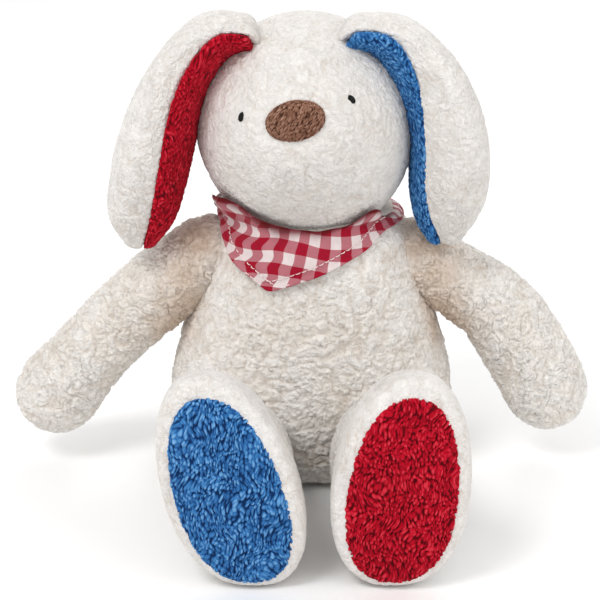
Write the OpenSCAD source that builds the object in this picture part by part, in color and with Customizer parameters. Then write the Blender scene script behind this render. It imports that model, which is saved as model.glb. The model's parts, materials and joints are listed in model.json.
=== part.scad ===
// Seated plush dog: sherpa covers over stuffing, terry soles and ear linings,
// an embroidered face and a checked neckerchief.
// The dog faces -Y and sits on Z = 0. Left and right are the dog's own, so left is +X.

/* [Torso] */
// Radius of the belly, front to back
belly_r = 64; // [56:0.5:72]
// Height of the widest ring of the belly
belly_z = 38; // [30:1:46]
// Radius of the flat seat
seat_r = 50; // [42:0.5:54]
// Radius of the torso at the shoulders
chest_r = 50; // [46:0.5:54]
// Height of the shoulders, where the neck opening is
torso_h = 140; // [132:1:150]
// Radius of each side bulge of the seat
side_r = 48; // [42:0.5:54]
// Sideways place of each side bulge
side_x = 31; // [26:0.5:36]
// Height of each side bulge
side_z = 42; // [36:0.5:48]

/* [Head] */
// Radius of the head
head_r = 56; // [50:0.5:60]
// How deep the head sinks into the shoulders
head_sink = 10; // [7:0.5:13]
// Sideways place of the head
head_x = -2; // [-6:0.5:6]
// Fore and aft place of the head
head_y = -8; // [-12:0.5:0]
// Sideways tilt of the head, leaning to -X
head_tilt = 10; // [0:1:15]
// Turn of the face towards -X
face_turn = 4; // [0:1:10]
// Upward tip of the muzzle
face_up = 13; // [5:1:20]
// How much smaller the muzzle's radius is than the head's
muzzle_step = 15; // [12:0.5:20]
// How far the muzzle's centre is in front of the head's
muzzle_out = 24; // [18:0.5:28]
// Width of the nose
nose_w = 33; // [26:0.5:38]
// Height of the nose
nose_h = 21; // [16:0.5:26]
// Width of each eye
eye_d = 4.5; // [3:0.5:8]
// Distance between the eyes
eye_gap = 56; // [46:1:64]
// How far the eyes are above the middle of the muzzle
eye_up = 7; // [0:0.5:12]

/* [Ears] */
// Thickness of a padded ear
ear_t = 33; // [24:0.5:36]
// Width of an ear, front to back
ear_w = 58; // [44:1:62]
// How far the ears' tips end above the tops of the arms
ear_clear = 1; // [0.5:0.5:6]
// Fore and aft place of the ears from the head's centre
ear_y = -10; // [-16:0.5:0]
// How much larger the right ear's bend is than the head's radius
right_ear_out = 44; // [38:0.5:48]
// How much larger the left ear's bend is than the head's radius
left_ear_out = 38; // [34:0.5:48]
// How far the centre of the right ear's bend is below the head's centre
right_ear_low = 35; // [22:1:38]
// How far the centre of the left ear's bend is below the head's centre
left_ear_low = 24; // [22:1:38]
// Seam angle of the right ear, from straight up
right_ear_angle = 36; // [30:1:44]
// Seam angle of the left ear, from straight up
left_ear_angle = 27; // [22:1:36]
// Share of the ear's thickness where the terry lining meets the sherpa
lining_share = 0.36; // [0.25:0.01:0.5]

/* [Arms] */
// Radius at the shoulder
arm_root_r = 22; // [19:0.5:24]
// Radius of the paw
paw_r = 23; // [20:0.5:25]
// Sideways place of the shoulder joint
shoulder_x = 60; // [57:0.5:64]
// How far the shoulder joint is below the top of the torso
shoulder_drop = 31; // [28:0.5:40]
// Fore and aft place of the arms
arm_y = -8; // [-12:0.5:0]
// Sideways reach of the right paw's centre
right_paw_x = 134; // [120:1:138]
// Sideways reach of the left paw's centre
left_paw_x = 126; // [120:1:138]
// Height of each paw's centre
paw_z = 41; // [30:1:50]
// How far the arm bows outwards and upwards
arm_bow = 6; // [0:0.5:10]

/* [Legs] */
// Radius at the hip
hip_r = 22; // [18:0.5:24]
// Sideways place of the hip joint
hip_x = 37; // [32:0.5:42]
// How far the hip joint is in front of the torso's axis
hip_y = 60; // [58:0.5:66]
// Radius of the ankle
ankle_r = 28; // [24:0.5:30]
// Width of a foot
foot_w = 66; // [56:1:72]
// Height of a foot
foot_h = 99; // [84:1:108]
// Thickness of a foot, front to back
foot_t = 42; // [34:1:48]
// How far the soles are in front of the torso's axis
sole_y = 168; // [150:1:180]
// Sideways place of the right foot
right_foot_x = 38; // [36:0.5:44]
// Sideways place of the left foot
left_foot_x = 43; // [36:0.5:46]
// Outward lean of the right foot
right_foot_lean = 7; // [0:1:10]
// Outward lean of the left foot
left_foot_lean = 2; // [0:1:10]
// White rim left around each terry sole
sole_rim = 6; // [4:0.5:10]
// Thickness of a terry sole
sole_t = 4; // [3:0.5:6]

/* [Neckerchief] */
// Thickness of the folded cloth
kerchief_t = 2; // [1.5:0.1:3]
// How far the point hangs below the shoulders
kerchief_drop = 29; // [20:1:40]
// Sideways place of the point
kerchief_tip_x = -19; // [-26:1:10]
// Half the width of the cloth across the chest
kerchief_half = 43; // [34:1:46]
// How far the cloth stands above the shoulders
kerchief_rise = 12; // [8:0.5:15]

/* [Tail] */
// Radius of the tail
tail_r = 12; // [9:0.5:15]
// Length of the tail
tail_l = 26; // [18:1:36]

/* [Fabric] */
// Thickness of the sherpa cover
wall = 3; // [2:0.5:4]
// Slack between a cover and its stuffing
slack = 0.4; // [0.3:0.1:1]
// Clearance of the head in the neck opening
neck_gap = 0.6; // [0.4:0.1:2]
// Clearance of a limb's root in its pocket
pocket_gap = 2.5; // [2:0.1:4]
// Thickness of a closing thread
thread_d = 1.2; // [0.8:0.1:1.6]

/* [Hidden] */
$fn = 64;
big = 400;
sherpa = [0.91, 0.89, 0.86];
batting = [0.97, 0.97, 0.95];
red_terry = [0.72, 0.04, 0.14];
blue_terry = [0.22, 0.44, 0.68];
brown = [0.5, 0.33, 0.26];
black = [0.08, 0.08, 0.08];
gingham = [0.75, 0.2, 0.28];
head_z = torso_h - head_sink + head_r;
shoulder_z = torso_h - shoulder_drop;
muzzle_r = head_r - muzzle_step;
ear_drop = head_z - shoulder_z - arm_root_r - ear_clear;
head_at = [head_x, head_y, head_z];
neck_opening = sqrt(pow(head_r + neck_gap, 2) - pow(head_r - head_sink, 2));
head_ring = sqrt(pow(head_r, 2) - pow(head_r - head_sink - kerchief_rise, 2));
curve_steps = 8;
nose_rise = 2;
nose_lift = 0.1;
nose_blunt = 1.3;
eye_rise = 2;
eye_stand = 1.2;
seam_r = head_r + 1;
hip_z = 32;
heel_rise = 3;
heel_in = 5;
arm_swell = 0.5;
pocket_share = 0.4;
pocket_swing = 15;
thread_gap = 0.1;
rod_step = 0.4;
tail_z = 30;
kerchief_y = -6;
kerchief_clear = 1.5;
kerchief_bulge = 0.5;
kerchief_side = 0.1;
kerchief_slope = 0.7;
kerchief_run = 14;
kerchief_lean = 1;
kerchief_lift = 0.5;
kerchief_top_r = max(chest_r - kerchief_lean,
    head_ring + norm([head_x, head_y - kerchief_y]) + kerchief_clear);
knot_r = 8;
knot_tube = 3.5;
knot_out = 10;

// ---- shared shapes ----

// Radius of the torso's middle at height z, above its widest ring
function chest_at(z) =
    chest_r + (belly_r - chest_r) * cos(90 * (z - belly_z) / (torso_h - belly_z));

// Outline of the torso's middle, drawn in by the given amount
function torso_outline(inset) = concat(
    [[0, inset]],
    [for (i = [0 : curve_steps / 2])
        [seat_r - inset + (belly_r - seat_r) * sin(90 * 2 * i / curve_steps),
            inset + (belly_z - inset) * (1 - cos(90 * 2 * i / curve_steps))]],
    [for (i = [1 : curve_steps])
        let (z = belly_z + (torso_h - inset - belly_z) * i / curve_steps)
        [chest_at(z) - inset, z]],
    [[0, torso_h - inset]]);

// A point between a and b, at share t of the way
function between(a, b, t) = a * (1 - t) + b * t;

// Puts children into the head's own frame, with the muzzle along -Y
module in_head() {
    translate(head_at)
        rotate([0, -head_tilt, 0])
            rotate([0, 0, -face_turn])
                children();
}

// A row of balls joined by cones, drawn in by the given amount
module limb(points, radii, inset) {
    for (i = [0 : len(points) - 1])
        translate(points[i])
            sphere(r = radii[i] - inset);
    for (i = [0 : len(points) - 2])
        rod(points[i], points[i + 1], radii[i] - inset, radii[i + 1] - inset);
}

// A cone from one ball's centre to the next, a little slimmer than the balls
module rod(from, to, r_from, r_to) {
    way = to - from;
    translate(from)
        rotate([0, acos(way[2] / norm(way)), atan2(way[1], way[0])])
            cylinder(r1 = r_from - rod_step, r2 = r_to - rod_step, h = norm(way));
}

// ---- torso ----

module torso_solid(inset) {
    rotate_extrude()
        polygon(torso_outline(inset));
    for (side = [-1, 1])
        intersection() {
            translate([side * side_x, 0, side_z])
                sphere(r = side_r - inset);
            translate([-big / 2, -big / 2, inset])
                cube([big, big, big]);
        }
}

// Room for the head and for the roots of the limbs, widened by extra
module torso_pockets(extra) {
    translate(head_at)
        sphere(r = head_r + neck_gap + extra);
    for (side = [-1, 1]) {
        translate(arm_points(side)[0]) {
            sphere(r = arm_root_r + pocket_gap + extra);
            for (swing = [0, pocket_swing])
                rotate([swing, 0, 0])
                    translate(pocket_share * (arm_points(side)[1] - arm_points(side)[0]))
                        sphere(r = arm_root_r + pocket_gap + extra);
        }
        translate([side * hip_x, -hip_y, hip_z])
            sphere(r = hip_r + pocket_gap + extra);
    }
}

module torso_cover() {
    color(sherpa)
        difference() {
            torso_solid(0);
            torso_solid(wall);
            torso_pockets(0);
        }
}

module torso_stuffing() {
    color(batting)
        difference() {
            torso_solid(wall + slack);
            torso_pockets(slack);
        }
}

// ---- head ----

module head_solid(inset) {
    sphere(r = head_r - inset);
    rotate([-face_up, 0, 0])
        translate([0, -muzzle_out, 0])
            sphere(r = muzzle_r - inset);
}

module head_cover() {
    color(sherpa)
        difference() {
            in_head()
                head_solid(0);
            in_head()
                head_solid(wall);
        }
}

module head_stuffing() {
    color(batting)
        in_head()
            head_solid(wall + slack);
}

// A shallow embroidered pad of the given size that stands on a ball's surface
module stitched_pad(ball_r, rise, width, height) {
    intersection() {
        difference() {
            sphere(r = ball_r + rise);
            sphere(r = ball_r);
        }
        rotate([90, 0, 0])
            linear_extrude(height = ball_r + 2 * rise)
                intersection() {
                    translate([0, -oval_drop(width, height)])
                        circle(r = oval_r(width, height));
                    translate([0, oval_drop(width, height)])
                        circle(r = oval_r(width, height));
                    square([width, 2 * height], center = true);
                }
    }
}

// Two equal arcs that cross beyond the blunt ends of an oval of this width and height
function oval_r(width, height) = (pow(nose_blunt * width, 2) + height * height) / (4 * height);
function oval_drop(width, height) = oval_r(width, height) - height / 2;

module nose() {
    color(brown)
        in_head()
            rotate([-face_up, 0, 0])
                translate([0, -muzzle_out, 0])
                    stitched_pad(muzzle_r + nose_lift, nose_rise, nose_w, nose_h);
}

module eye(side) {
    turn = asin(eye_gap / 2 / muzzle_r);
    lift = asin(eye_up / muzzle_r);
    color(black)
        in_head()
            rotate([-face_up, 0, 0])
                translate([0, -muzzle_out, 0])
                    rotate([0, 0, side * turn])
                        rotate([-lift, 0, 0])
                            translate([0, -muzzle_r - eye_stand, 0])
                                rotate([90, 0, 0])
                                    cylinder(d = eye_d, h = eye_rise, center = true);
}

module right_eye() {
    eye(-1);
}

module left_eye() {
    eye(1);
}

// ---- ears ----

// Lens section of an ear, from one share of its thickness to another
module ear_section(low, high, inset) {
    lens_r = (ear_w * ear_w + ear_t * ear_t) / (4 * ear_t);
    intersection() {
        translate([lens_r, 0])
            circle(r = lens_r - inset);
        translate([ear_t - lens_r, 0])
            circle(r = lens_r - inset);
        translate([ear_t * low, -ear_w])
            square([ear_t * (high - low), 2 * ear_w]);
    }
}

// Angle at the bend's centre between straight up and the seam
function seam_turn(angle, low) =
    atan2(seam_r * sin(angle), seam_r * cos(angle) + low);

// The sweep of an ear: a bend that starts at the seam, and a drop with a round tip
module ear_sweep(bend_r, bend_low, angle, low, high, inset) {
    start = 90 - seam_turn(angle, bend_low) - inset / bend_r * 180 / PI;
    drop = ear_drop - bend_low - inset;
    tip_r = ear_w / 2 - inset;
    translate([0, ear_y, -bend_low])
        rotate([90, 0, 0]) {
            rotate_extrude(angle = start)
                translate([bend_r - ear_t, 0])
                    ear_section(low, high, inset);
            intersection() {
                rotate([90, 0, 0])
                    linear_extrude(height = drop)
                        translate([bend_r - ear_t, 0])
                            ear_section(low, high, inset);
                union() {
                    translate([0, tip_r - drop, 0])
                        rotate([0, 90, 0])
                            cylinder(r = tip_r, h = big);
                    translate([0, tip_r - drop, -ear_w])
                        cube([big, big, 2 * ear_w]);
                }
            }
        }
}

// The room of an ear between two shares of its thickness, clear of the head
module ear_room(side, low, high, inset) {
    bend_r = head_r + (side < 0 ? right_ear_out : left_ear_out);
    bend_low = side < 0 ? right_ear_low : left_ear_low;
    angle = side < 0 ? right_ear_angle : left_ear_angle;
    translate(head_at)
        mirror([side < 0 ? 1 : 0, 0, 0])
            difference() {
                ear_sweep(bend_r, bend_low, angle, low, high, inset);
                sphere(r = seam_r + inset);
            }
}

// One sewn layer of an ear, hollow where the batting lies
module ear_layer(side, low, high) {
    difference() {
        ear_room(side, low, high, 0);
        ear_room(side, 0, 1, wall);
    }
}

module right_ear_outer() {
    color(sherpa)
        ear_layer(-1, lining_share, 1);
}

module right_ear_batting() {
    color(batting)
        ear_room(-1, 0, 1, wall + slack);
}

module right_ear_lining() {
    color(red_terry)
        ear_layer(-1, 0, lining_share);
}

module left_ear_outer() {
    color(sherpa)
        ear_layer(1, lining_share, 1);
}

module left_ear_batting() {
    color(batting)
        ear_room(1, 0, 1, wall + slack);
}

module left_ear_lining() {
    color(blue_terry)
        ear_layer(1, 0, lining_share);
}

// ---- arms ----

// Centres of the balls along an arm, from the shoulder to the paw
function arm_points(side) =
    let (shoulder = [side * shoulder_x, arm_y, shoulder_z],
        paw = [side * (side < 0 ? right_paw_x : left_paw_x), arm_y, paw_z],
        way = (paw - shoulder) / norm(paw - shoulder),
        bow = arm_bow * [-side * way[2], 0, side * way[0]])
    [shoulder, between(shoulder, paw, 0.45) + bow, between(shoulder, paw, 0.8) + bow, paw];

module arm(side, inset) {
    limb(arm_points(side),
        [arm_root_r, between(arm_root_r, paw_r, 0.5), paw_r + arm_swell, paw_r], inset);
}

module arm_cover(side) {
    color(sherpa)
        difference() {
            arm(side, 0);
            arm(side, wall);
        }
}

module right_arm_cover() {
    arm_cover(-1);
}

module left_arm_cover() {
    arm_cover(1);
}

module right_arm_stuffing() {
    color(batting)
        arm(-1, wall + slack);
}

module left_arm_stuffing() {
    color(batting)
        arm(1, wall + slack);
}

// ---- legs ----

// Outline of a foot seen from the front, drawn in by the given amount
module foot_outline(inset) {
    rise = foot_h - foot_w;
    half = foot_w / 2 - inset;
    circle(r = half);
    translate([0, rise])
        circle(r = half);
    translate([-half, 0])
        square([2 * half, rise]);
}

// Puts children on a foot's front face, with its outline in X and Y
module on_foot(side) {
    foot_x = side < 0 ? right_foot_x : left_foot_x;
    lean = side < 0 ? right_foot_lean : left_foot_lean;
    translate([side * foot_x, sole_t - sole_y, foot_w / 2])
        rotate([0, side * lean, 0])
            rotate([90, 0, 0])
                children();
}

module leg(side, inset) {
    foot_x = side < 0 ? right_foot_x : left_foot_x;
    hip = [side * hip_x, -hip_y, hip_z];
    heel = [side * foot_x, foot_t - heel_in + sole_t - sole_y, foot_w / 2 + heel_rise];
    limb([hip, between(hip, heel, 0.55), heel], [hip_r, ankle_r, ankle_r], inset);
    on_foot(side)
        translate([0, 0, inset - foot_t])
            linear_extrude(height = foot_t - 2 * inset)
                foot_outline(inset);
}

module leg_cover(side) {
    color(sherpa)
        difference() {
            leg(side, 0);
            leg(side, wall);
        }
}

module right_leg_cover() {
    leg_cover(-1);
}

module left_leg_cover() {
    leg_cover(1);
}

module right_leg_stuffing() {
    color(batting)
        leg(-1, wall + slack);
}

module left_leg_stuffing() {
    color(batting)
        leg(1, wall + slack);
}

module sole(side) {
    on_foot(side)
        linear_extrude(height = sole_t)
            foot_outline(sole_rim);
}

module right_sole() {
    color(blue_terry)
        sole(-1);
}

module left_sole() {
    color(red_terry)
        sole(1);
}

// ---- neckerchief ----

// Section of the cloth round the neck and down the chest, from its top to its hem
function kerchief_line(out) = [
    [kerchief_top_r + out, torso_h + kerchief_rise],
    [max(chest_r + kerchief_clear, kerchief_top_r) + out, torso_h],
    on_chest(kerchief_bulge * kerchief_drop, out),
    on_chest(kerchief_drop, out)];

// A point of that section, lying on the chest at a depth below the top of the torso
function on_chest(depth, out) = [chest_at(torso_h - depth) + kerchief_clear + out, torso_h - depth];

function backwards(points) = [for (i = [len(points) - 1 : -1 : 0]) points[i]];

// The cloth as a ring round the neck, before it is cut to its outline
module kerchief_ring() {
    translate([0, kerchief_y, 0])
        rotate_extrude()
            polygon(concat(kerchief_line(0), backwards(kerchief_line(kerchief_t))));
}

// Front outline of the hanging point
module kerchief_point() {
    top = torso_h + 2 * kerchief_rise;
    rotate([90, 0, 0])
        linear_extrude(height = big)
            polygon([[-kerchief_half, top],
                [-kerchief_half, torso_h - kerchief_side * kerchief_drop],
                [kerchief_tip_x - kerchief_run, torso_h - kerchief_slope * kerchief_drop],
                [kerchief_tip_x, torso_h - kerchief_drop],
                [kerchief_half, torso_h - kerchief_side * kerchief_drop],
                [kerchief_half, top]]);
}

module kerchief() {
    color(gingham)
        intersection() {
            kerchief_ring();
            union() {
                kerchief_point();
                translate([-big / 2, -big / 2, torso_h + kerchief_lift])
                    cube([big, big, big]);
            }
        }
}

module kerchief_knot() {
    color(gingham)
        translate([0, chest_r + kerchief_y + knot_out, torso_h + kerchief_rise / 2])
            rotate([90, 0, 0])
                rotate_extrude()
                    translate([knot_r - knot_tube, 0])
                        circle(r = knot_tube);
}

// ---- tail ----

module tail(inset) {
    difference() {
        limb([[0, belly_r - tail_r, tail_z], [0, belly_r + tail_l - tail_r, tail_z + tail_l / 3]],
            [tail_r, tail_r], inset);
        torso_solid(-inset);
    }
}

module tail_cover() {
    color(sherpa)
        difference() {
            tail(0);
            tail(wall);
        }
}

module tail_stuffing() {
    color(batting)
        tail(wall + slack);
}

// ---- closing threads ----

// A round of thread about a limb's root, square to the way the limb leaves
module root_thread(root, next, root_r) {
    way = next - root;
    color(sherpa)
        translate(root)
            rotate([0, acos(way[2] / norm(way)), atan2(way[1], way[0])])
                rotate_extrude()
                    translate([root_r + thread_d / 2 + thread_gap, 0])
                        circle(d = thread_d);
}

module shoulder_thread(side) {
    points = arm_points(side);
    root_thread(points[0], points[1], arm_root_r);
}

module right_shoulder_thread() {
    shoulder_thread(-1);
}

module left_shoulder_thread() {
    shoulder_thread(1);
}

module hip_thread(side) {
    hip = [side * hip_x, -hip_y, hip_z];
    root_thread(hip, hip - [0, 1, 0], hip_r);
}

module right_hip_thread() {
    hip_thread(-1);
}

module left_hip_thread() {
    hip_thread(1);
}

module neck_thread() {
    color(sherpa)
        translate([head_x, head_y, torso_h + thread_d / 2])
            rotate_extrude()
                translate([neck_opening + thread_d, 0])
                    circle(d = thread_d);
}

torso_cover();
torso_stuffing();
head_cover();
head_stuffing();
nose();
right_eye();
left_eye();
right_ear_outer();
right_ear_batting();
right_ear_lining();
left_ear_outer();
left_ear_batting();
left_ear_lining();
right_arm_cover();
right_arm_stuffing();
left_arm_cover();
left_arm_stuffing();
right_leg_cover();
right_leg_stuffing();
right_sole();
left_leg_cover();
left_leg_stuffing();
left_sole();
kerchief();
kerchief_knot();
tail_cover();
tail_stuffing();
neck_thread();
right_shoulder_thread();
left_shoulder_thread();
right_hip_thread();
left_hip_thread();
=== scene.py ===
import json
import math

import bmesh
import bpy
import numpy as np
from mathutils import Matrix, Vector


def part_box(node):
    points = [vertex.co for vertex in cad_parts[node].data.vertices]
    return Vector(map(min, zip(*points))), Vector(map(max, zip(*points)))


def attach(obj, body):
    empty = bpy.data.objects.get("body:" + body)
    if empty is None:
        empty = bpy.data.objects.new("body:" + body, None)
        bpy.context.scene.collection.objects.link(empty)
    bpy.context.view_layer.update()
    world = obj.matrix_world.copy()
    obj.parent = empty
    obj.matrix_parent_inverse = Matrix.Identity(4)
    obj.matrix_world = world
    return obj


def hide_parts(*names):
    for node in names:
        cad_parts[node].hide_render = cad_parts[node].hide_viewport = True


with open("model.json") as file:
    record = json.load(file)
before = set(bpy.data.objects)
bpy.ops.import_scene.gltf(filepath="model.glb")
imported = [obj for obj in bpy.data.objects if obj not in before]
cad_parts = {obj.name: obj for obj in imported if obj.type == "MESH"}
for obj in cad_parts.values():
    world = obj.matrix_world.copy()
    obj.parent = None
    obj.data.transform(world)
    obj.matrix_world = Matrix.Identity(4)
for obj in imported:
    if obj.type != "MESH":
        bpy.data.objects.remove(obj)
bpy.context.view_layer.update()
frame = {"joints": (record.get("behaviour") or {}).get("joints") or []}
MM = 0.001

# ---------------------------------------------------------------- measures from the frame


def span(node):
    low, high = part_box(node)
    return np.array(low), np.array(high)


def joint(name):
    return next(j for j in frame["joints"] if j["name"] == name)


HEAD = np.array(joint("neck_turn")["pos_m"])
HEAD_R = 0.058
MUZZLE_OUT = 0.024
MUZZLE_R = 0.0415
TILT = math.radians(10)
TURN = math.radians(4)
TIP_UP = math.radians(13)
SIDES = ("right", "left")

# ---------------------------------------------------------------- noise, all seeded by numbers


def hashed(cells, seed):
    """Three numbers from 0 to 1 for each whole-number cell, the same ones each run."""
    c = cells.astype(np.int64)
    h = c[..., 0] * 73856093 ^ c[..., 1] * 19349663 ^ c[..., 2] * 83492791 ^ (seed * 2654435761)
    out = []
    for _ in range(3):
        h = (h ^ (h >> 13)) * 1274126177 & 0x7FFFFFFFFFFF
        h = h ^ (h >> 16)
        out.append((h & 0xFFFFF) / float(0xFFFFF))
    return np.stack(out, -1)


def smooth_noise(p, seed):
    """Value noise from -1 to 1."""
    cell = np.floor(p)
    f = p - cell
    f = f * f * f * (f * (f * 6 - 15) + 10)
    total = np.zeros(len(p))
    for i in range(2):
        for j in range(2):
            for k in range(2):
                v = hashed(cell + (i, j, k), seed)[:, 0]
                w = (f[:, 0] if i else 1 - f[:, 0]) * (f[:, 1] if j else 1 - f[:, 1])
                total += v * w * (f[:, 2] if k else 1 - f[:, 2])
    return total * 2 - 1


def cloudy(p, seed, octaves):
    return sum(smooth_noise(p * 2.03**i, seed + i) * 0.5**i for i in range(octaves))


def cells(p, seed):
    """How far the nearest jittered cell point is, and three numbers that belong to it."""
    base = np.floor(p)
    nearest = np.full(len(p), 9.0)
    numbers = np.zeros_like(p)
    for i in (-1, 0, 1):
        for j in (-1, 0, 1):
            for k in (-1, 0, 1):
                c = base + (i, j, k)
                r = np.linalg.norm(p - c - hashed(c, seed), axis=1)
                near = r < nearest
                nearest = np.where(near, r, nearest)
                numbers[near] = hashed(c[near], seed + 7)
    return nearest, numbers


# ---------------------------------------------------------------- mesh helpers


def make(name, points, faces):
    mesh = bpy.data.meshes.new(name)
    mesh.from_pydata([tuple(p) for p in points], [], [tuple(int(i) for i in f) for f in faces])
    mesh.update()
    o = bpy.data.objects.new(name, mesh)
    bpy.context.scene.collection.objects.link(o)
    for poly in mesh.polygons:
        poly.use_smooth = True
    return o


def quads(n, m, base=0):
    """The faces between n rings of m points each, numbered from base."""
    faces = []
    for i in range(n - 1):
        low = base + i * m
        for j in range(m):
            k = (j + 1) % m
            faces.append((low + j, low + k, low + m + k, low + m + j))
    return faces


def loft(name, rings):
    """A closed skin over rings of points, with a point at the middle of each end."""
    rings = np.asarray(rings)
    n, m = rings.shape[:2]
    points = np.concatenate([rings.reshape(-1, 3), rings[0].mean(0)[None], rings[-1].mean(0)[None]])
    faces = quads(n, m)
    for j in range(m):
        k = (j + 1) % m
        faces.append((n * m, k, j))
        faces.append((n * m + 1, (n - 1) * m + j, (n - 1) * m + k))
    return outward(make(name, points, faces))


def outward(o):
    b = bmesh.new()
    b.from_mesh(o.data)
    bmesh.ops.recalc_face_normals(b, faces=b.faces)
    b.to_mesh(o.data)
    b.free()
    return o


def ball(name, shape, n=16):
    """A cube blown up to a ball; shape turns unit directions into points."""
    b = bmesh.new()
    bmesh.ops.create_cube(b, size=2)
    bmesh.ops.subdivide_edges(b, edges=b.edges[:], cuts=n - 1, use_grid_fill=True)
    at = np.array([v.co for v in b.verts])
    at = np.tan(at * math.pi / 4)
    at /= np.linalg.norm(at, axis=1)[:, None]
    for v, p in zip(b.verts, shape(at)):
        v.co = p
    mesh = bpy.data.meshes.new(name)
    b.to_mesh(mesh)
    b.free()
    o = bpy.data.objects.new(name, mesh)
    bpy.context.scene.collection.objects.link(o)
    return outward(o)


def coords(o):
    p = np.empty(len(o.data.vertices) * 3)
    o.data.vertices.foreach_get("co", p)
    return p.reshape(-1, 3)


def normals(o):
    p = np.empty(len(o.data.vertices) * 3)
    o.data.vertices.foreach_get("normal", p)
    return p.reshape(-1, 3)


def set_coords(o, p):
    o.data.vertices.foreach_set("co", np.ascontiguousarray(p, float).ravel())
    o.data.update()


PUFF_FRAMES = 20
PUFF_PRESSURE = 4
PUFF_CAP = 2.5 * MM


def inflate(pieces):
    """Cloth pressure on closed covers, with the move of each point held under the cap."""
    scene = bpy.context.scene
    start = {o.name: coords(o) for o in pieces}
    for o in pieces:
        m = o.modifiers.new("Cloth", "CLOTH")
        s = m.settings
        s.quality = 5
        s.mass = 0.1
        s.use_pressure = True
        s.uniform_pressure_force = PUFF_PRESSURE
        s.effector_weights.gravity = 0
    for f in range(1, PUFF_FRAMES + 1):
        scene.frame_set(f)
    graph = bpy.context.evaluated_depsgraph_get()
    moved = {}
    for o in pieces:
        e = o.evaluated_get(graph)
        p = np.empty(len(e.data.vertices) * 3)
        e.data.vertices.foreach_get("co", p)
        moved[o.name] = p.reshape(-1, 3)
    for o in pieces:
        o.modifiers.clear()
        d = moved[o.name] - start[o.name]
        far = np.linalg.norm(d, axis=1)[:, None]
        set_coords(o, start[o.name] + d * np.minimum(1, PUFF_CAP / np.maximum(far, 1e-9)))
    scene.frame_set(1)


def bake_modifiers(o):
    """Keep what the modifiers make as the piece's own mesh."""
    graph = bpy.context.evaluated_depsgraph_get()
    mesh = bpy.data.meshes.new_from_object(o.evaluated_get(graph))
    o.modifiers.clear()
    old = o.data
    o.data = mesh
    bpy.data.meshes.remove(old)
    for poly in o.data.polygons:
        poly.use_smooth = True
    return o


def refine(o, levels):
    m = o.modifiers.new("Subsurf", "SUBSURF")
    m.levels = levels
    m.render_levels = levels
    m.boundary_smooth = "PRESERVE_CORNERS"
    return bake_modifiers(o)


def record_number(o, name, values):
    layer = o.data.attributes.new(name, "FLOAT", "POINT")
    layer.data.foreach_set("value", np.ascontiguousarray(values, np.float32))


def smooth_step(x):
    x = np.clip(x, 0, 1)
    return x * x * (3 - 2 * x)


# ---------------------------------------------------------------- fabric surfaces


CURL_TURNS = 2.6  # how many times a strand of the pile turns across a puff


def fleece(o, seed, scale=6.0 * MM, depth=2.3 * MM, ease=1.0):
    """Curly pile: soft puffs with thin wandering creases, and strands that curl along the puffs."""
    p, n = coords(o), normals(o)
    bend = np.stack([cloudy(p / (1.5 * scale) + 31 * k, seed + 11 * k, 2) for k in range(3)], -1)
    q = p / scale + 0.75 * bend
    one, two = smooth_noise(q, seed + 1), smooth_noise(q * 1.55 + 13, seed + 2)
    crease = np.minimum(smooth_step(np.abs(one) * 2.6 + 0.05), smooth_step(np.abs(two) * 3.4 + 0.25))
    swirl = cloudy(q * 1.25 + 7, seed + 3, 2)
    strand = 0.5 + 0.5 * np.cos(2 * math.pi * CURL_TURNS * swirl)
    fine = cloudy(p / (1.3 * MM), seed + 5, 2)
    broad = cloudy(p / (3.2 * scale), seed + 9, 2)
    height = 0.40 * crease + 0.34 * strand * (0.4 + 0.6 * crease) + 0.12 * fine + 0.14 * broad + 0.12
    set_coords(o, p + n * ((height - 0.5) * depth * ease)[:, None])
    # the height is kept to colour the pile: lower points, mostly in the creases, get painted shade
    record_number(o, "shade_by_height", np.clip(height, 0, 1))
    record_number(o, "patch", np.clip(0.5 + 0.5 * swirl, 0, 1))


def terry(o, seed, flow, depth, loop=1.1 * MM, long=2.3, swirl=3.2 * MM):
    """Small lying loops of yarn, longer along the flow, with gaps between that the material darkens as
    painted shade.
    """
    p, n = coords(o), normals(o)
    flow = np.array(flow, float)
    bend = np.stack([cloudy(p / 0.013 + 17 * k, seed + 5 * k, 2) for k in range(3)], -1)
    q = p + swirl * bend
    along = (q * flow).sum(1)[:, None] * flow
    q = (q - along + along / long) / loop
    nearest, numbers = cells(q, seed)
    round_top = np.sqrt(np.clip(1 - (nearest / 0.72) ** 2, 0, 1))
    height = (0.45 + 0.55 * numbers[:, 0]) * round_top
    set_coords(o, p + n * ((height - 0.35) * depth)[:, None])
    # the height is kept to colour the loops: the low gaps between them get painted shade
    record_number(o, "shade_by_height", np.clip(height, 0, 1))
    record_number(o, "patch", numbers[:, 2])


# ---------------------------------------------------------------- materials


def material(name):
    m = bpy.data.materials.new(name)
    m.use_nodes = True
    tree = m.node_tree
    shader = tree.nodes["Principled BSDF"]
    return m, tree, shader


def node(tree, kind, **values):
    n = tree.nodes.new(kind)
    for key, value in values.items():
        setattr(n, key, value)
    return n


def ramp(tree, source, stops):
    r = node(tree, "ShaderNodeValToRGB")
    for element, (place, colour) in zip(r.color_ramp.elements, (stops[0], stops[-1])):
        element.position = place
        element.color = (*colour, 1)
    for place, colour in stops[1:-1]:
        r.color_ramp.elements.new(place).color = (*colour, 1)
    tree.links.new(source, r.inputs[0])
    return r.outputs[0]


def mixed(tree, share, a, b, blend="MIX"):
    m = node(tree, "ShaderNodeMix", data_type="RGBA", blend_type=blend)
    for socket, value in ((m.inputs[0], share), (m.inputs[6], a), (m.inputs[7], b)):
        if isinstance(value, (int, float)):
            socket.default_value = value
        elif isinstance(value, tuple):
            socket.default_value = (*value, 1)
        else:
            tree.links.new(value, socket)
    return m.outputs[2]


def noise(tree, scale, detail):
    where = node(tree, "ShaderNodeTexCoord")
    n = node(tree, "ShaderNodeTexNoise")
    n.inputs["Scale"].default_value = scale
    n.inputs["Detail"].default_value = detail
    tree.links.new(where.outputs["Object"], n.inputs["Vector"])
    return n.outputs["Fac"]


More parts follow.
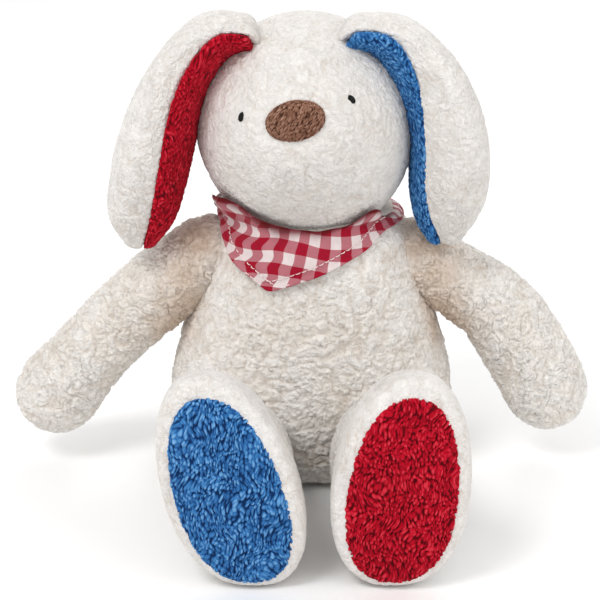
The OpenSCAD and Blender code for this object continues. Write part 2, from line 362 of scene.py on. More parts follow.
def bump(tree, shader, height, distance, strength=1.0):
    b = node(tree, "ShaderNodeBump")
    b.inputs["Strength"].default_value = strength
    b.inputs["Distance"].default_value = distance
    tree.links.new(height, b.inputs["Height"])
    tree.links.new(b.outputs[0], shader.inputs["Normal"])


def attribute(tree, name):
    a = node(tree, "ShaderNodeAttribute", attribute_name=name)
    return a.outputs["Fac"]


def strands(tree, scale, turns):
    """Contour lines of a noise: fibres that wander and curl, as a height from 0 to 1."""
    wave = node(tree, "ShaderNodeMath", operation="SINE")
    many = node(tree, "ShaderNodeMath", operation="MULTIPLY")
    many.inputs[1].default_value = turns * 2 * math.pi
    tree.links.new(noise(tree, scale, 2), many.inputs[0])
    tree.links.new(many.outputs[0], wave.inputs[0])
    return ramp(tree, wave.outputs[0], ((0.0, (0, 0, 0)), (0.5, (0.5, 0.5, 0.5)), (1.0, (1, 1, 1))))


def pile_material(name, stops, tint, tint_share, grain, sheen, curl=0.0):
    """Fibres coloured by how far up the pile they are, the low ones darker as painted shade in the crevices;
    the last argument is how dark the painted shade in the grooves between the fibres gets.
    """
    m, tree, shader = material(name)
    # painted shade: the lower on the pile, the darker the colour from the stops
    colour = ramp(tree, attribute(tree, "shade_by_height"), stops)
    cloud = ramp(tree, noise(tree, 45, 4), ((0.35, (0, 0, 0)), (0.7, (tint_share,) * 3)))
    colour = mixed(tree, cloud, colour, tint, "MULTIPLY")
    fleck = ramp(tree, attribute(tree, "patch"), ((0.0, (0.90, 0.90, 0.90)), (1.0, (1, 1, 1))))
    colour = mixed(tree, 1.0, colour, fleck, "MULTIPLY")
    # painted shade at the armpits: the tan darkening where the arms meet the torso
    colour = mixed(tree, attribute(tree, "tan"), colour, (0.80, 0.66, 0.55), "MULTIPLY")
    tree.links.new(colour, shader.inputs["Base Color"])
    shader.inputs["Roughness"].default_value = 0.95
    shader.inputs["Specular IOR Level"].default_value = 0.1
    shader.inputs["Sheen Weight"].default_value = sheen
    shader.inputs["Sheen Roughness"].default_value = 0.6
    if curl:
        fibres = mixed(tree, 0.45, strands(tree, 170, 5.0), strands(tree, 330, 4.0))
        relief = mixed(tree, 0.3, fibres, noise(tree, grain, 3))
        # painted shade in the grooves between the fibres
        groove = ramp(tree, fibres, ((0.0, (1 - curl,) * 3), (0.6, (1, 1, 1))))
        colour = mixed(tree, 1.0, colour, groove, "MULTIPLY")
        tree.links.new(colour, shader.inputs["Base Color"])
        bump(tree, shader, relief, 0.0006, 0.75)
    else:
        bump(tree, shader, noise(tree, grain, 3), 0.0005, 0.7)
    return m


# how far up the pile, then the colour there: the darker colours lower down are painted shade in the crevices
# and gaps
SHERPA_STOPS = ((0.0, (0.68, 0.60, 0.53)), (0.25, (0.80, 0.75, 0.69)),
                (0.5, (0.88, 0.845, 0.80)), (1.0, (0.93, 0.90, 0.87)))
SHORT_STOPS = ((0.0, (0.68, 0.62, 0.565)), (0.3, (0.775, 0.74, 0.70)),
               (0.6, (0.82, 0.79, 0.76)), (1.0, (0.85, 0.825, 0.80)))
RED_STOPS = ((0.0, (0.11, 0.0, 0.004)), (0.3, (0.31, 0.0, 0.009)),
             (0.6, (0.50, 0.002, 0.018)), (0.9, (0.68, 0.035, 0.06)))
BLUE_STOPS = ((0.0, (0.003, 0.03, 0.11)), (0.3, (0.012, 0.085, 0.27)),
              (0.6, (0.045, 0.20, 0.48)), (0.9, (0.17, 0.40, 0.70)))
BROWN_STOPS = ((0.0, (0.05, 0.02, 0.012)), (0.3, (0.17, 0.075, 0.045)),
               (0.7, (0.32, 0.17, 0.115)), (1.0, (0.50, 0.32, 0.24)))
BLACK_STOPS = ((0.0, (0.003, 0.003, 0.003)), (1.0, (0.03, 0.03, 0.03)))
SHERPA = pile_material("sherpa_long", SHERPA_STOPS, (0.92, 0.86, 0.80), 0.4, 900, 0.15, curl=0.13)
SHORT = pile_material("sherpa_short", SHORT_STOPS, (0.95, 0.91, 0.87), 0.3, 1100, 0.15, curl=0.08)
RED = pile_material("red_terry", RED_STOPS, (0.7, 0.5, 0.5), 0.4, 1500, 0.03)
BLUE = pile_material("blue_terry", BLUE_STOPS, (0.6, 0.65, 0.75), 0.4, 1500, 0.05)
BROWN = pile_material("brown_stitches", BROWN_STOPS, (0.6, 0.5, 0.5), 0.5, 1800, 0.05)
BLACK = pile_material("black_stitches", BLACK_STOPS, (0.6, 0.6, 0.6), 0.4, 2500, 0.02)


CHECK = 11.2 * MM  # two stripes of the gingham
WEAVE = 0.8 * MM  # two threads of its cloth


def gingham_material():
    """Woven check at its real size, read from the cloth's own metres."""
    m, tree, shader = material("gingham")
    where = node(tree, "ShaderNodeUVMap", uv_map="cloth")
    parts = node(tree, "ShaderNodeSeparateXYZ")
    tree.links.new(where.outputs[0], parts.inputs[0])

    def math_node(kind, a, b=None):
        n = node(tree, "ShaderNodeMath", operation=kind)
        for socket, value in zip(n.inputs, (a, b)):
            if isinstance(value, (int, float)):
                socket.default_value = value
            elif value is not None:
                tree.links.new(value, socket)
        return n.outputs[0]

    stripes = []
    threads = []
    for k in (0, 1):
        wave = math_node("SINE", math_node("MULTIPLY", parts.outputs[k], 2 * math.pi / CHECK))
        stripes.append(math_node("ADD", math_node("MULTIPLY", wave, 14.0), 0.5))
        threads.append(math_node("SINE", math_node("MULTIPLY", parts.outputs[k], 2 * math.pi / WEAVE)))
    for k, s in enumerate(stripes):
        c = node(tree, "ShaderNodeClamp")
        tree.links.new(s, c.inputs[0])
        stripes[k] = c.outputs[0]
    total = math_node("MULTIPLY", math_node("ADD", stripes[0], stripes[1]), 0.5)
    dyed = ((0.0, (0.82, 0.71, 0.70)), (0.5, (0.51, 0.17, 0.20)), (1.0, (0.37, 0.0, 0.02)))
    colour = ramp(tree, total, dyed)
    weave = math_node("MULTIPLY", threads[0], threads[1])
    shade = ramp(tree, weave, ((0.0, (0.93, 0.93, 0.93)), (1.0, (1, 1, 1))))
    colour = mixed(tree, 1.0, colour, shade, "MULTIPLY")
    worn = ramp(tree, noise(tree, 220, 4), ((0.3, (0.9, 0.9, 0.9)), (0.7, (1, 1, 1))))
    colour = mixed(tree, 1.0, colour, worn, "MULTIPLY")
    # painted shadow in patches along the cloth's top edge, under the chin
    colour = mixed(tree, attribute(tree, "edge"), colour, (0.28, 0.05, 0.07), "MULTIPLY")
    tree.links.new(colour, shader.inputs["Base Color"])
    shader.inputs["Roughness"].default_value = 0.85
    shader.inputs["Specular IOR Level"].default_value = 0.2
    shader.inputs["Sheen Weight"].default_value = 0.1
    bump(tree, shader, weave, 0.00015, 0.6)
    return m


def thread_material():
    m, tree, shader = material("topstitch_thread")
    colour = ramp(tree, noise(tree, 1500, 2), ((0.3, (0.80, 0.62, 0.60)), (0.7, (0.92, 0.80, 0.78))))
    tree.links.new(colour, shader.inputs["Base Color"])
    shader.inputs["Roughness"].default_value = 0.6
    bump(tree, shader, noise(tree, 2500, 2), 0.0001)
    return m


GINGHAM = gingham_material()
THREAD = thread_material()


def dress(o, m):
    o.data.materials.clear()
    o.data.materials.append(m)


# ---------------------------------------------------------------- torso

TORSO_ROWS = (  # height, half width, half depth, in millimetres
    (0, 60, 50), (3, 67, 56.5), (12, 73, 61.5), (26, 76, 63.5), (42, 76, 63.5), (58, 73, 62),
    (74, 68.5, 60.5), (90, 63.5, 58.5), (106, 59, 56), (120, 55, 53), (131, 50, 49), (138, 44, 44),
    (142, 35, 35), (144.5, 20, 20))
TORSO_ASIDE = 1.2  # how far it leans to the dog's left, in millimetres
TORSO_SQUARE = 2.2  # how square the torso is from above; 2 is an oval


def smooth_rows(rows, steps):
    """Rows of numbers drawn as one smooth line through them, at even steps along it."""
    rows = np.array(rows, float)
    t = np.concatenate([[0], np.cumsum(np.linalg.norm(np.diff(rows, axis=0), axis=1))])
    at = np.linspace(0, t[-1], steps)
    slope = np.gradient(rows, t, axis=0)
    i = np.clip(np.searchsorted(t, at, side="right") - 1, 0, len(t) - 2)
    h = (t[i + 1] - t[i])[:, None]
    u = ((at - t[i]) / (t[i + 1] - t[i]))[:, None]
    return ((1 + 2 * u) * (1 - u) ** 2 * rows[i] + u * (1 - u) ** 2 * h * slope[i]
            + u * u * (3 - 2 * u) * rows[i + 1] - u * u * (1 - u) * h * slope[i + 1])


def torso_reach(half_x, half_y, angle):
    """How far the torso's outline is from its axis, at an angle from the front."""
    front = (np.abs(np.cos(angle)) / half_y) ** TORSO_SQUARE
    side = (np.abs(np.sin(angle)) / half_x) ** TORSO_SQUARE
    return 1 / (front + side) ** (1 / TORSO_SQUARE)


def torso_section(z_mm, angle):
    rows = np.array(TORSO_ROWS)
    half_x = np.interp(z_mm, rows[:, 0], rows[:, 1])
    half_y = np.interp(z_mm, rows[:, 0], rows[:, 2])
    return torso_reach(half_x, half_y, angle)


def make_torso():
    rows = smooth_rows(TORSO_ROWS, 34)
    around = np.linspace(0, 2 * math.pi, 56, endpoint=False)
    rings = []
    for z, half_x, half_y in rows:
        r = torso_reach(half_x, half_y, around)
        x = r * np.sin(around) + TORSO_ASIDE
        rings.append(np.stack([x, -r * np.cos(around), np.full_like(r, z)], -1) * MM)
    return loft("torso_pelt", rings)


# ---------------------------------------------------------------- head


def to_head(p):
    """From the head's own frame, with the muzzle along -Y, to the row frame."""
    c, s = math.cos(-TURN), math.sin(-TURN)
    x, y, z = p[..., 0] * c - p[..., 1] * s, p[..., 0] * s + p[..., 1] * c, p[..., 2]
    c, s = math.cos(-TILT), math.sin(-TILT)
    return np.stack([x * c + z * s, y, -x * s + z * c], -1) + HEAD


def head_reach(d):
    """How far the head's skin is from its middle, in each direction of its own frame."""
    muzzle = np.array([0, -math.cos(TIP_UP), math.sin(TIP_UP)]) * MUZZLE_OUT
    near = d @ muzzle
    out = near + np.sqrt(np.maximum(near**2 - muzzle @ muzzle + MUZZLE_R**2, 0))
    skull = HEAD_R / np.sqrt(1 - np.minimum(d[:, 2], 0) ** 2 * 0.125)
    soft = 0.004
    return soft * np.logaddexp(out / soft, skull / soft) - 0.001


def make_head():
    return ball("head_pelt", lambda d: to_head(d * head_reach(d)[:, None]), 18)


# ---------------------------------------------------------------- limbs


def swept(name, line, radii, around=26, steps=30):
    """A round limb along a smooth line, with round ends."""
    data = smooth_rows(np.concatenate([line, np.array(radii)[:, None]], 1), steps)
    at, r = data[:, :3], data[:, 3]
    way = np.gradient(at, axis=0)
    way /= np.linalg.norm(way, axis=1)[:, None]
    side = np.array([0, 1.0, 0])
    rings = []

    def ring(p, w, radius):
        a = np.cross(side, w)
        a /= np.linalg.norm(a)
        b = np.cross(w, a)
        t = np.linspace(0, 2 * math.pi, around, endpoint=False)[:, None]
        return p + radius * (np.cos(t) * a + np.sin(t) * b)

    for k in (75, 50, 25):
        rings.append(ring(at[0] - way[0] * r[0] * math.sin(math.radians(k)), way[0],
                          r[0] * math.cos(math.radians(k))))
    for p, w, radius in zip(at, way, r):
        rings.append(ring(p, w, radius))
    for k in (20, 40, 58, 74, 85):
        rings.append(ring(at[-1] + way[-1] * r[-1] * math.sin(math.radians(k)), way[-1],
                          r[-1] * math.cos(math.radians(k))))
    return loft(name, rings)


ARM_ROWS = {  # how far out, how high and how thick each arm is from its shoulder to its paw, in millimetres
    "right": ((53, 114.5, 21.5), (76.5, 98, 21.5), (98.5, 79, 20.8), (119.5, 57.5, 20.8), (136.5, 37, 23.2)),
    "left": ((53, 113.5, 20.5), (77, 100.5, 19.5), (100.5, 84, 21.5), (115.5, 62.5, 23), (128.5, 39, 22.8))}


def make_arm(side):
    shoulder = np.array(joint(f"{side}_arm_swing")["pos_m"])
    sign = np.sign(shoulder[0])
    line = np.array([[sign * x, shoulder[1] / MM, z] for x, z, _ in ARM_ROWS[side]]) * MM
    return swept(f"{side}_arm_pelt", line, [r * MM for _, _, r in ARM_ROWS[side]])


BLUNT = 2.25  # how square the outline of a foot is
NARROW = 0.10  # how much narrower a foot is at its toes
FRONT = -0.1730  # where the soles are sewn in
FOOT = {"right": (0.0378, math.radians(13)), "left": (0.0424, math.radians(5))}  # how far out, and its lean


def make_leg(side):
    """A foot standing on its heel, running back into a short leg and its hip."""
    hip = np.array(joint(f"{side}_leg_lift")["pos_m"])
    sign = np.sign(hip[0])
    foot_x, lean = FOOT[side]
    around = 44
    t = np.linspace(0, 2 * math.pi, around, endpoint=False)
    blunt = 1 / (np.abs(np.sin(t)) ** BLUNT + np.abs(np.cos(t)) ** BLUNT) ** (1 / BLUNT)
    half_w, half_h, middle = 0.0318, 0.0528, 0.0515
    rings = []
    back = abs(FRONT) - abs(hip[1])
    # share of the way from the sole to the hip, size of the outline, share of the leg's round shape
    rows = ((0.0, 0.30, 0.0), (0.0, 0.60, 0.0), (0.0, 0.82, 0.0), (0.004, 0.92, 0.0), (0.020, 0.975, 0.0),
            (0.06, 1.0, 0.0), (0.15, 1.0, 0.02), (0.24, 0.985, 0.08), (0.32, 0.95, 0.25), (0.39, 0.93, 0.55),
            (0.46, 0.95, 0.85), (0.55, 1.0, 1.0), (0.7, 1.0, 1.0), (0.85, 0.93, 1.0), (1.0, 0.80, 1.0),
            (1.10, 0.66, 1.0), (1.17, 0.40, 1.0))
    for share, size, roundness in rows:
        y = FRONT + share * back
        narrow = 1 - NARROW * np.cos(t)
        high = half_h * np.cos(t) * size * blunt
        egg_x = sign * foot_x + sign * math.sin(lean) * high + half_w * np.sin(t) * size * narrow * blunt
        egg_z = middle + high
        leg_r = 0.0285
        leg_x = sign * (foot_x + (abs(hip[0]) - foot_x) * min(1, share)) + leg_r * np.sin(t) * size
        leg_z = 0.0315 + leg_r * np.cos(t) * size
        x = egg_x * (1 - roundness) + leg_x * roundness
        z = egg_z * (1 - roundness) + leg_z * roundness
        rings.append(np.stack([x, np.full_like(x, y), np.maximum(z, 0.0006)], -1))
    return loft(f"{side}_leg_pelt", rings)


def make_sole(side):
    """A domed egg-shaped pad sewn into the front of a foot."""
    half_w, half_h, middle = 0.0258, 0.0465, 0.0496
    dome = 0.0034
    sign = -1 if side == "right" else 1
    foot_x, lean = FOOT[side]

    def pillow(d):
        off = np.arccos(np.clip(np.abs(d[:, 1]), 0, 1)) / (math.pi / 2)
        flat = np.hypot(d[:, 0], d[:, 2]) + 1e-9
        u, v = d[:, 0] / flat, d[:, 2] / flat
        blunt = off / (np.abs(u) ** BLUNT + np.abs(v) ** BLUNT) ** (1 / BLUNT)
        u, v = u * blunt, v * blunt
        x = sign * foot_x + sign * math.sin(lean) * half_h * v + half_w * u * (1 - NARROW * v)
        y = FRONT + np.sign(d[:, 1]) * dome * np.sqrt(np.clip(1 - off**3, 0, 1)) + 0.0004
        return np.stack([x, y, middle + half_h * v], -1)

    return ball(f"{side}_sole_terry", pillow, 20)


# ---------------------------------------------------------------- ears


EAR_EDGES = {  # outer edge then inner edge in the front view, from the seam to the tip, in millimetres
    "right": (((-28, 243), (-50, 246), (-71, 231), (-86, 209),
               (-95.5, 187), (-101, 164), (-102.5, 142), (-93, 125)),
              ((-23, 224), (-38, 225.5), (-50, 212), (-57, 193),
               (-61, 174), (-66, 154), (-72, 137), (-82, 124.5))),
    "left": (((20, 243), (43, 244.5), (66, 230.5), (80.5, 211),
              (88.5, 190), (91, 169), (88.5, 148), (76, 126.5)),
             ((10, 225), (27, 226.5), (40.5, 213), (48.5, 194),
              (52.5, 174), (53, 155), (56, 139), (63.5, 126.5)))}
EAR_DEPTH = (15, 22, 26, 28, 28.5, 25, 17, 8)  # half the thickness of an ear's roll, in millimetres
EAR_ROWS = 34
EAR_AHEAD = 0.016  # how far an ear's middle is ahead of the neck's axis
LINING_SUNK = 5.2 * MM  # how deep the pelt goes under the lining
# how far the lining goes each way round the ear from its inner edge, in degrees, from the seam to the tip
LINING_REACH = {"right": (88, 84, 74, 66, 60, 56, 54, 54), "left": (100, 90, 64, 44, 34, 31, 34, 40)}


def make_ear(side):
    """An ear as a soft flat pad, and its terry lining as a thin closed shell on the inner side."""
    outer, inner = (np.array(edge, float) * MM for edge in EAR_EDGES[side])
    rows = np.concatenate([outer, inner, np.array(EAR_DEPTH)[:, None] * MM,
                           np.array(LINING_REACH[side])[:, None] * 0.001], 1)
    rows = smooth_rows(rows, EAR_ROWS)
    t = np.linspace(0, 2 * math.pi, 44, endpoint=False)
    rings = []
    for k, row in enumerate(rows):
        out_edge, in_edge, depth = row[:2], row[2:4], row[4]
        middle, half = (out_edge + in_edge) / 2, (in_edge - out_edge) / 2
        swing = 0.30 * np.sin(t)
        front = middle + (np.cos(t) + swing)[:, None] * half * 0.96
        y = HEAD[1] - EAR_AHEAD - 0.004 * k / (EAR_ROWS - 1) + depth * np.sin(t)
        rings.append(np.stack([front[:, 0], y, front[:, 1]], -1))
    rings = np.array(rings)
    skins = []
    fallen = np.minimum(t, 2 * math.pi - t)
    for k, row in enumerate(rows):
        reach = math.radians(row[5] * 1000)
        a = np.linspace(-reach, reach, 26)
        points = np.stack([np.interp(a, t - 2 * math.pi * (t > math.pi), rings[k][:, i],
                                     period=2 * math.pi) for i in range(3)], -1)
        core = rings[k].mean(0)
        edge = np.linspace(0, 1, len(a))
        lift = np.sqrt(np.clip(np.minimum(edge, 1 - edge) / 0.10, 0, 1))[:, None]
        off = (points - core) / np.linalg.norm(points - core, axis=1)[:, None]
        proud = points + off * (0.0016 * lift - 0.0002)
        under = points - off * 0.0030
        skins.append(np.concatenate([proud, under[::-1]]))
        sunk = LINING_SUNK * smooth_step((reach - fallen) / 0.25)[:, None]
        way = rings[k] - core
        rings[k] = rings[k] - way / np.linalg.norm(way, axis=1)[:, None] * sunk * (k > 1)
    lining = loft(f"{side}_ear_terry", skins[1:])
    return loft(f"{side}_ear_pelt", rings), lining


# ---------------------------------------------------------------- build

torso = make_torso()
head = make_head()
arms = {s: make_arm(s) for s in SIDES}
legs = {s: make_leg(s) for s in SIDES}
soles = {s: make_sole(s) for s in SIDES}
ears = {s: make_ear(s) for s in SIDES}
tail_line = np.array([[0, 0.054, 0.029], [0, 0.066, 0.033], [0, 0.078, 0.038]])
tail = swept("tail_pelt", tail_line, [0.0115, 0.0128, 0.0120], around=20, steps=8)

inflate([torso, head, *arms.values(), *legs.values(), *(e[0] for e in ears.values()), tail])

LEVELS = 3
for o in (torso, head, *arms.values(), *legs.values(), tail):
    refine(o, LEVELS)
for pelt, lining in ears.values():
    refine(pelt, LEVELS)
    refine(lining, LEVELS)
for o in soles.values():
    refine(o, LEVELS)


def near_points(p, spots, size):
    """How near each point is to any of the spots, from 0 to 1."""
    return np.max([np.exp(-np.sum((p - np.array(spot)) ** 2, 1) / size**2) for spot in spots], 0)


SHORT_PUFF = 5.5 * MM  # the puffs of the shorter pile
# spots round which painted shade darkens the torso and the arms at the armpits
ARMPIT_LINE = ((60, 124), (64, 108), (68, 92), (72, 80))  # out and up, in millimetres
ARMPITS = [(sign * x * MM, -0.020, z * MM) for sign in (-1, 1) for x, z in ARMPIT_LINE]
at = coords(torso)
under_cloth = smooth_step((at[:, 2] - 0.100) / 0.02) * smooth_step((-at[:, 1] - 0.01) / 0.02)
record_number(torso, "tan", near_points(at, ARMPITS, 0.013))
fleece(torso, 3, ease=(1 - 0.6 * under_cloth) * smooth_step((at[:, 2] + 0.002) / 0.008))
fleece(head, 5, scale=SHORT_PUFF, depth=1.1 * MM)
for k, s in enumerate(SIDES):
    record_number(arms[s], "tan", near_points(coords(arms[s]), ARMPITS, 0.016))
    fleece(arms[s], 11 + k)
    at = coords(legs[s])
    on_leg = smooth_step((at[:, 1] - FRONT - 0.012) / 0.03)
    fleece(legs[s], 15 + k, scale=SHORT_PUFF, depth=1.6 * MM, ease=0.25 + 0.75 * on_leg)
    fleece(ears[s][0], 19 + k, scale=SHORT_PUFF, depth=1.0 * MM)
    terry(ears[s][1], 23 + k, flow=(0, 0.3, 0.95), depth=1.0 * MM)
    terry(soles[s], 27 + k, flow=(0.1, 0, 0.99), depth=1.3 * MM)
fleece(tail, 31, depth=1.6 * MM)

dress(torso, SHERPA)
dress(head, SHORT)
dress(tail, SHERPA)
for s in SIDES:
    dress(arms[s], SHERPA)
    dress(legs[s], SHORT)
    dress(ears[s][0], SHORT)
dress(ears["right"][1], RED)
dress(ears["left"][1], BLUE)
dress(soles["right"], BLUE)
dress(soles["left"], RED)

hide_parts("torso_cover", "torso_stuffing", "neck_thread")
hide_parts("head_cover", "head_stuffing")
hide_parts("tail_cover", "tail_stuffing")
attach(torso, "torso")
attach(head, "head")
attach(tail, "torso")
for s in SIDES:
    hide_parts(f"{s}_arm_cover", f"{s}_arm_stuffing", f"{s}_shoulder_thread")
    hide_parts(f"{s}_leg_cover", f"{s}_leg_stuffing", f"{s}_hip_thread")
    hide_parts(f"{s}_sole")
    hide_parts(f"{s}_ear_outer", f"{s}_ear_batting")
    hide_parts(f"{s}_ear_lining")
    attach(arms[s], f"{s}_arm")
    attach(legs[s], f"{s}_leg")
    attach(soles[s], f"{s}_leg")
    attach(ears[s][0], f"{s}_ear")
    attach(ears[s][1], f"{s}_ear")

# ---------------------------------------------------------------- nose and eyes


def on_face(x, z, out):
    """Points on the muzzle, from places across and up in the muzzle's own frame."""
    c, s = math.cos(-TIP_UP), math.sin(-TIP_UP)
    r = MUZZLE_R - 0.5 * MM
    y = -np.sqrt(np.maximum(r * r - x * x - z * z, 1e-8))
    p = np.stack([x, y, z], -1)
    p *= 1 + out / r
    p = p + np.array([0, -MUZZLE_OUT, 0])
    p = np.stack([p[..., 0], p[..., 1] * c - p[..., 2] * s, p[..., 1] * s + p[..., 2] * c], -1)
    return to_head(p)


def pad_on_face(name, x0, z0, half_w, half_h, rise, turn=0.0, around=64, rows=22):
    """A low oval pad of stitches with a closed back, domed off the muzzle."""
    t = np.linspace(0, 2 * math.pi, around, endpoint=False)

    def ring(size, out):
        u, v = half_w * size * np.cos(t), half_h * size * np.sin(t)
        x = x0 + u * math.cos(turn) - v * math.sin(turn)
        z = z0 + u * math.sin(turn) + v * math.cos(turn)
        return on_face(x, z, out)

    rings = []
    for k in range(rows + 1):
        size = max(0.02, math.sin(math.pi / 2 * k / rows))
        rings.append(ring(size, rise * math.sqrt(max(0.0, 1 - size**4)) + 0.0004))
    for size in (0.9, 0.5, 0.1):
        rings.append(ring(size, -0.002))
    return loft(name, rings)


nose = pad_on_face("nose_stitches", 0.0015, 0.0005, 0.0147, 0.0098, 0.0018, turn=0.04)
refine(nose, 2)
terry(nose, 41, flow=(0.6, 0, 0.8), depth=0.6 * MM, loop=0.7 * MM, long=3.0, swirl=1.6 * MM)
dress(nose, BROWN)
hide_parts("nose")
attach(nose, "head")
eyes = {}
for s, sign in (("right", -1), ("left", 1)):
    eyes[s] = pad_on_face(f"{s}_eye_stitches", sign * 0.0269 + 0.0020, 0.0066, 0.0012, 0.0025, 0.0013,
                          turn=sign * 0.45, around=24, rows=8)
    refine(eyes[s], 1)
    terry(eyes[s], 43, flow=(0, 0, 1), depth=0.15 * MM, loop=0.45 * MM, long=5.0)
    dress(eyes[s], BLACK)
    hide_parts(f"{s}_eye")
    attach(eyes[s], "head")

# ---------------------------------------------------------------- neckerchief

CLOTH_THICK = 0.9 * MM
CLOTH_OFF_HEAD = 5.2 * MM  # room for the head to turn in the cloth
CLOTH_OFF_CHEST = 3.0 * MM  # the depth of the pile under the cloth
CLOTH_REACH = 0.054  # from the neck's axis, where the cloth's own metres are measured
HEM = (  # angle round the neck from the front, bottom height, top height, in degrees and millimetres
    (-180, 137, 146), (-110, 137, 145), (-80, 137, 144), (-66, 136, 146), (-56, 131, 154), (-46, 124, 154),
    (-34, 116.5, 147), (-20.5, 108.5, 141.5), (-8, 112.5, 138.8), (5, 117, 138.2), (20, 123.5, 139.5),
    (30, 127.5, 144), (37, 131, 149), (43, 133.5, 146.5), (49, 135, 141), (60, 135.5, 139),
    (80, 135.5, 138.5), (110, 135.5, 138.5), (140, 136.5, 142.5), (180, 137, 146))


def cloth_radius(angle, z):
    """How far the cloth lies from the neck's axis: off the chest below, off the head above."""
    dx, dy = HEAD[0], HEAD[1]
    z_mm = z / MM
    chest = torso_section(np.minimum(z_mm, 139.5), angle) * MM + CLOTH_OFF_CHEST
    chest = np.where(z_mm > 139, chest - (z_mm - 139) * 0.0009, chest)
    low = HEAD_R + CLOTH_OFF_HEAD
    head_ring = np.sqrt(np.maximum(low**2 - (z - HEAD[2]) ** 2, 1e-8))
    towards = dx * np.sin(angle) - dy * np.cos(angle)
    head_ring = head_ring + towards
    soft = 0.0015
    return soft * np.logaddexp(chest / soft, head_ring / soft)


def make_kerchief():
    rows = np.array(HEM, float)
    angle = np.radians(np.linspace(-180, 180, 361))[:-1]
    low = np.interp(np.degrees(angle), rows[:, 0], rows[:, 1]) * MM
    high = np.interp(np.degrees(angle), rows[:, 0], rows[:, 2]) * MM
    for _ in range(4):
        low = (np.roll(low, 1) + 2 * low + np.roll(low, -1)) / 4
        high = (np.roll(high, 1) + 2 * high + np.roll(high, -1)) / 4
    steps = 40
    points, flat = [], []
    for k in range(steps + 1):
        v = k / steps
        z = high + (low - high) * v
        near_left = np.exp(-((np.degrees(angle) + 40) / 22) ** 2)
        fold = 0.0021 * np.sin(angle * 13 + 4 * v + 0.6) * near_left * (1 - 0.7 * v)
        fold += 0.0007 * np.sin(angle * 19 - 3 * v) * (1 - v) - 0.0016 * np.exp(-v / 0.07)
        r = cloth_radius(angle, z) + fold + 0.0008 * (v > 0.9)
        points.append(np.stack([r * np.sin(angle), -r * np.cos(angle), z], -1))
        slide = 0.0016 * np.sin(700 * z + angle * 3) * near_left
        flat.append(np.stack([angle * CLOTH_REACH + slide, z + 0.0012 * np.sin(angle * 6)], -1))
    points, flat = np.array(points), np.array(flat)
    n, m = points.shape[:2]
    faces = [(a, d, c, b) for a, b, c, d in quads(n, m)]
    o = make("kerchief_cloth", points.reshape(-1, 3), faces)
    v = np.repeat(np.linspace(0, 1, n), m)
    turned = np.tile(np.degrees(angle), n)
    # painted shadow: patches along the cloth's top edge where it tucks under the chin, at the front only
    patchy = 0.5 + 0.5 * np.sin(turned * 0.16 + 1.2) * np.sin(turned * 0.071)
    edge = np.clip(np.exp(-((v / (0.06 + 0.13 * patchy)) ** 2)), 0, 1)
    record_number(o, "edge", edge * (np.abs(turned) < 75))
    lean = math.radians(12)
    uv = o.data.uv_layers.new(name="cloth")
    for loop in o.data.loops:
        i, j = divmod(loop.vertex_index, m)
        a, b = flat[i, j]
        uv.data[loop.index].uv = (a * math.cos(lean) - b * math.sin(lean),
                                  a * math.sin(lean) * 0.4 + b * math.cos(lean))
    solid = o.modifiers.new("Solidify", "SOLIDIFY")
    solid.thickness = CLOTH_THICK
    solid.offset = 0
    return bake_modifiers(o), angle, low


cloth, cloth_angle, cloth_low = make_kerchief()
dress(cloth, GINGHAM)
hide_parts("kerchief")
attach(cloth, "torso")


def cord(path, radius, around=6):
    """Rings of a thin thread along a path."""
    path = np.asarray(path)
    way = np.gradient(path, axis=0)
    way /= np.linalg.norm(way, axis=1)[:, None]
    a = np.cross(way, [0.0, 0.0, 1.0])
    a /= np.linalg.norm(a, axis=1)[:, None] + 1e-9
    b = np.cross(way, a)
    t = np.linspace(0, 2 * math.pi, around, endpoint=False)
    ring = np.cos(t)[None, :, None] * a[:, None] + np.sin(t)[None, :, None] * b[:, None]
    return path[:, None] + radius * ring


def make_topstitch():
    """Two rows of pale stitches that run a little inside the lower edges and cross near the point."""
    parts = []
    for start, end, inset in ((-58, -8, 0.0050), (-34, 56, 0.0050)):
        a = np.radians(np.linspace(start, end, 400))
        low = np.interp(a, cloth_angle, cloth_low)
        slope = np.gradient(low, a * 0.055)
        z = low + inset * np.sqrt(1 + slope**2)
        if end < 0:
            tail = np.clip((np.degrees(a) + 21) / 13, 0, 1)
            z = np.where(tail > 0, np.interp(-21, np.degrees(a), z) - tail * 0.0075, z)
        else:
            tail = np.clip((-21 - np.degrees(a)) / 13, 0, 1)
            z = np.where(tail > 0, np.interp(-21, np.degrees(a), z) - tail * 0.0020, z)
        z = np.maximum(z, low + 0.0012)
        r = cloth_radius(a, z) + 0.0011
        path = np.stack([r * np.sin(a), -r * np.cos(a), z], -1)
        run = np.concatenate([[0], np.cumsum(np.linalg.norm(np.diff(path, axis=0), axis=1))])
        for at_run in np.arange(0.001, run[-1] - 0.003, 0.0032):
            s5 = at_run + np.linspace(0, 0.0024, 5)
            stitch = np.stack([np.interp(s5, run, path[:, i]) for i in range(3)], -1)
            lift = np.array([-0.0005, 0.0002, 0.0003, 0.0002, -0.0005])[:, None]
            flat_way = stitch * [1, 1, 0]
            stitch = stitch + flat_way / np.linalg.norm(flat_way, axis=1)[:, None] * lift
            parts.append(cord(stitch, 0.00024))
    points, faces = [], []
    for rings in parts:
        n, m = rings.shape[:2]
        base = len(points)
        points.extend(rings.reshape(-1, 3))
        faces.extend(quads(n, m, base))
        faces.append([base + j for j in range(m)][::-1])
        faces.append([base + (n - 1) * m + j for j in range(m)])
    return outward(make("kerchief_topstitch", points, faces))


topstitch = make_topstitch()
dress(topstitch, THREAD)
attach(topstitch, "torso")

knot_low, knot_high = span("kerchief_knot")
knot_at = (knot_low + knot_high) / 2


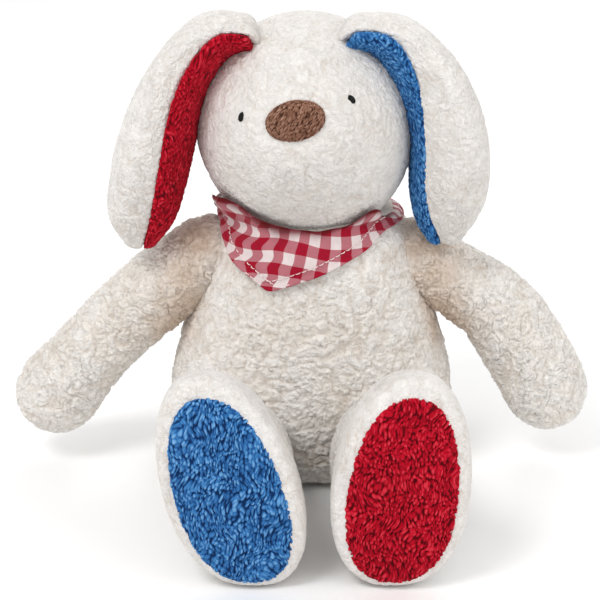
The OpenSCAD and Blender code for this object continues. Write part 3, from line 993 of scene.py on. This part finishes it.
def make_knot():
    """Guessed: a small tied knot at the back of the neck; its two short pointed ends are made by make_end.
    """

    def bundle(d):
        wrap = 1 + 0.10 * np.sin(5 * np.arctan2(d[:, 2], d[:, 0]) + 4 * d[:, 1])
        return knot_at + d * np.array([0.0088, 0.0052, 0.0068]) * wrap[:, None]

    o = refine(ball("kerchief_knot_cloth", bundle, 10), 2)
    p, n = coords(o), normals(o)
    fold = 0.0007 * np.sin((p[:, 0] - knot_at[0]) * 1300 + 500 * (p[:, 2] - knot_at[2]))
    set_coords(o, p + n * fold[:, None])
    return metre_map(o)


def make_end(side):
    """One loose end of the neckerchief, hanging from the knot as a thin folded strip."""
    rings = []
    for k in range(15):
        share = k / 14
        half = 0.0065 * (1 - share) ** 0.6 * (0.55 + share) + 0.0008
        x = side * (0.004 + 0.012 * share)
        y = knot_at[1] + 0.001 + 0.002 * math.sin(3 * share)
        z = knot_at[2] - 0.002 - 0.017 * share
        t = np.linspace(0, 2 * math.pi, 28, endpoint=False)
        across = half * np.cos(t)
        curl = 0.0008 * np.sin(900 * across + side)
        ring = [x + across * 0.85, y + curl + 0.0005 * np.sin(t), z + side * across * 0.45]
        rings.append(np.stack(ring, -1))
    return metre_map(loft(f"kerchief_end_{'left' if side > 0 else 'right'}", rings))


def metre_map(o):
    """Cloth coordinates in metres, laid on from behind."""
    uv = o.data.uv_layers.new(name="cloth")
    for loop in o.data.loops:
        q = o.data.vertices[loop.vertex_index].co
        uv.data[loop.index].uv = (q.x, q.z)
    return o


knot = make_knot()
dress(knot, GINGHAM)
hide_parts("kerchief_knot")
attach(knot, "torso")
for side in (-1, 1):
    end = make_end(side)
    dress(end, GINGHAM)
    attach(end, "torso")

# ---------------------------------------------------------------- floor, lights and camera

corners = [(x, y, -0.0005) for x, y in ((-3, -3), (3, -3), (3, 3), (-3, 3))]
floor = make("floor", corners, [(0, 1, 2, 3)])
floor_material, _, floor_shader = material("floor")
floor_shader.inputs["Base Color"].default_value = (0.95, 0.95, 0.95, 1)
floor_shader.inputs["Roughness"].default_value = 0.8
floor.data.materials.append(floor_material)


def aim(o, target):
    way = Vector(target) - o.location
    o.rotation_euler = way.to_track_quat("-Z", "Y").to_euler()


def soft_light(name, place, size, power, target=(0, 0, 0.12)):
    light = bpy.data.lights.new(name, "AREA")
    light.shape = "DISK"
    light.size = size
    light.energy = power
    o = bpy.data.objects.new(name, light)
    bpy.context.scene.collection.objects.link(o)
    o.location = place
    aim(o, target)


soft_light("key", (-0.8, -1.0, 1.6), 0.8, 14)
soft_light("fill", (1.2, -1.0, 0.9), 1.2, 5)
soft_light("rim", (0.3, 1.4, 1.3), 1.0, 8)

world = bpy.data.worlds.new("world")
bpy.context.scene.world = world
world.use_nodes = True
world.node_tree.nodes["Background"].inputs[0].default_value = (1, 1, 1, 1)
world.node_tree.nodes["Background"].inputs[1].default_value = 0.80
bpy.context.scene.view_settings.view_transform = "Standard"

camera_data = bpy.data.cameras.new("camera")
camera_data.lens = 111
camera_data.sensor_width = 36
camera = bpy.data.objects.new("camera", camera_data)
bpy.context.scene.collection.objects.link(camera)
ELEVATION = math.radians(18)
centre = Vector((-0.005, 0, 0.086))
camera.location = centre + Vector((0, -math.cos(ELEVATION), math.sin(ELEVATION))) * 1.0
aim(camera, centre)
bpy.context.scene.camera = camera
